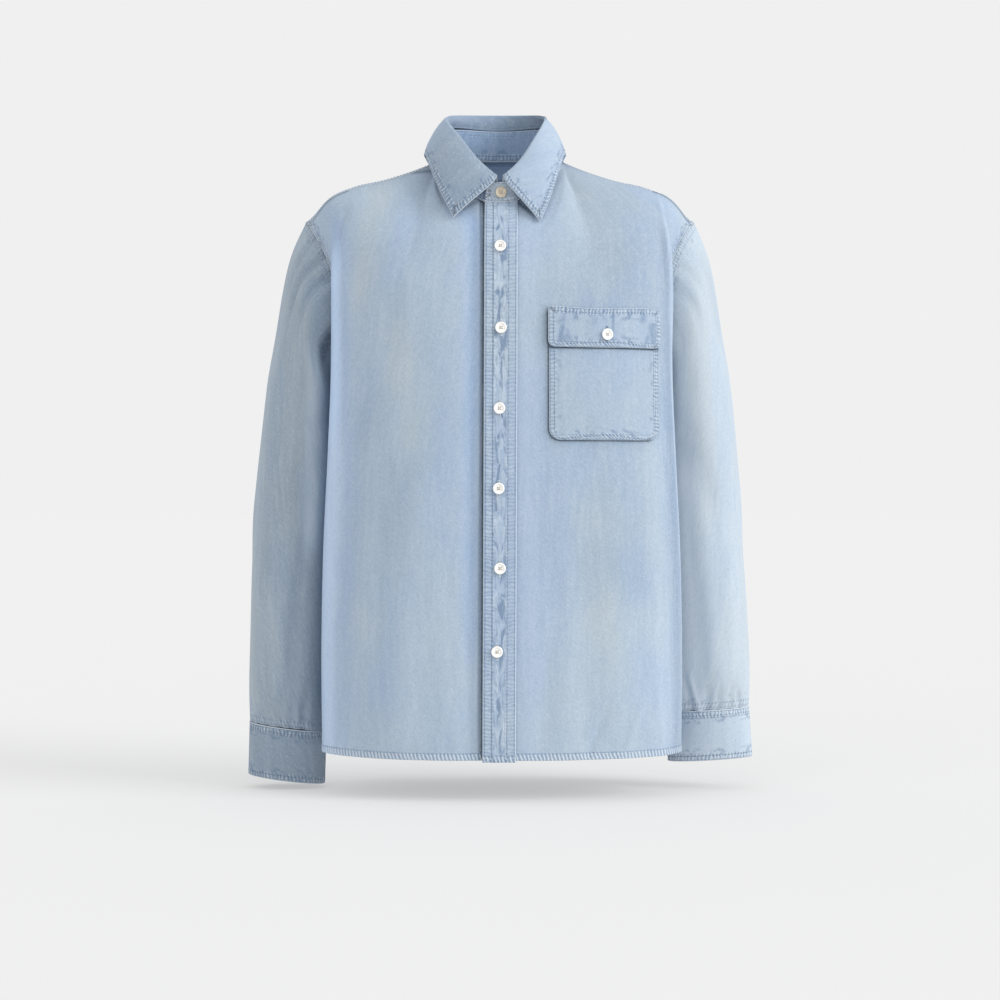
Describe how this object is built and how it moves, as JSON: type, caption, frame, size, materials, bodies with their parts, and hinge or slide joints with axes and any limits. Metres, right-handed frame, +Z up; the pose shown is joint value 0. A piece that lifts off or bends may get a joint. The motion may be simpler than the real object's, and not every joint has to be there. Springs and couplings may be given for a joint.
{
  "type": "denim shirt",
  "caption": "Long-sleeved button-through denim shirt with a pointed collar and one flapped chest pocket, filled out as if worn.",
  "frame": {"origin": "middle of the neck opening, level with the high points of the shoulders, where a neck and shoulders hold the shirt up", "axes": "+X to the wearer's left, -Y to the wearer's front, +Z up along the hanging body"},
  "size_m": [0.6079, 0.2428, 0.8143],
  "materials": {
    "denim": "washed pale blue twill",
    "denim_trim": "washed pale blue twill, doubled",
    "button": "cream, satin to gloss"
  },
  "bodies": {
    "root": {"front_right": "denim", "front_left": "denim", "back": "denim", "yoke": "denim", "sleeve_right": "denim", "sleeve_left": "denim", "cuff_right": "denim_trim", "cuff_left": "denim_trim", "sleeve_placket_right": "denim_trim", "sleeve_placket_left": "denim_trim", "placket": "denim_trim", "pocket": "denim_trim", "pocket_flap": "denim_trim", "collar_stand": "denim_trim", "collar_leaf": "denim_trim", "button_1": "button", "button_2": "button", "button_3": "button", "button_4": "button", "button_5": "button", "button_6": "button", "button_collar": "button", "button_pocket": "button", "button_cuff_right": "button", "button_cuff_left": "button"}
  },
  "joints": []
}
